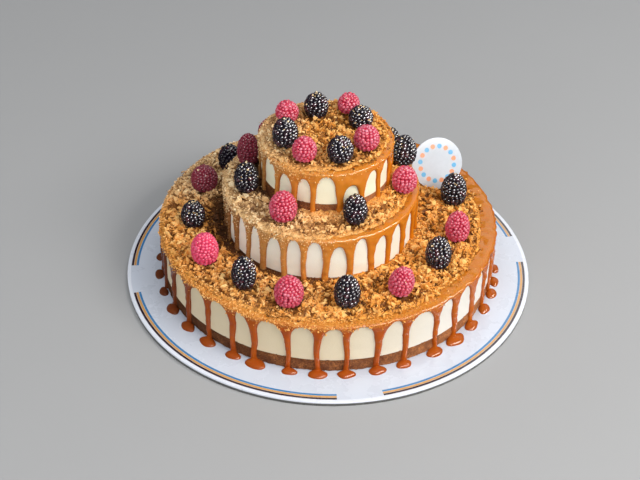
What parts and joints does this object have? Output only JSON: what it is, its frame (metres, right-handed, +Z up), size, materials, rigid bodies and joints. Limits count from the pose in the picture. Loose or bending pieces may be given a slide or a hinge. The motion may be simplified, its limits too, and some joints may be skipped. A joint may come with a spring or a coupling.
{
  "type": "layered cheesecake",
  "caption": "Three-tier layered cheesecake with caramel drips, crumb topping, raspberries and dark berries, with a round tag, on its round board.",
  "frame": {"origin": "the middle of the round board's underside", "axes": "+Z up through the tiers, +X to the viewer's right and +Y away from the viewer in the picture"},
  "size_m": [0.33, 0.33, 0.1584],
  "materials": {
    "white_card": "glossy white card",
    "crust": "matt baked biscuit crust",
    "cheesecake": "smooth satin cheesecake",
    "caramel": "glossy caramel",
    "crumbs": "loose golden crumbs",
    "raspberry": "frosted raspberry",
    "dark_berry": "glossy dark berry"
  },
  "bodies": {
    "root": {"board": "white_card", "tag": "white_card", "bottom_crust": "crust", "middle_crust": "crust", "top_crust": "crust", "bottom_cheesecake": "cheesecake", "middle_cheesecake": "cheesecake", "top_cheesecake": "cheesecake", "bottom_caramel": "caramel", "middle_caramel": "caramel", "top_caramel": "caramel", "bottom_crumbs": "crumbs", "middle_crumbs": "crumbs", "top_crumbs": "crumbs", "raspberry_01": "raspberry", "raspberry_02": "raspberry", "raspberry_03": "raspberry", "raspberry_04": "raspberry", "raspberry_05": "raspberry", "raspberry_06": "raspberry", "raspberry_07": "raspberry", "raspberry_08": "raspberry", "raspberry_09": "raspberry", "raspberry_10": "raspberry", "raspberry_11": "raspberry", "raspberry_12": "raspberry", "raspberry_13": "raspberry", "raspberry_14": "raspberry", "raspberry_15": "raspberry", "raspberry_16": "raspberry", "dark_berry_01": "dark_berry", "dark_berry_02": "dark_berry", "dark_berry_03": "dark_berry", "dark_berry_04": "dark_berry", "dark_berry_05": "dark_berry", "dark_berry_06": "dark_berry", "dark_berry_07": "dark_berry", "dark_berry_08": "dark_berry", "dark_berry_09": "dark_berry", "dark_berry_10": "dark_berry", "dark_berry_11": "dark_berry", "dark_berry_12": "dark_berry", "dark_berry_13": "dark_berry", "dark_berry_14": "dark_berry", "dark_berry_15": "dark_berry", "dark_berry_16": "dark_berry"}
  },
  "joints": []
}
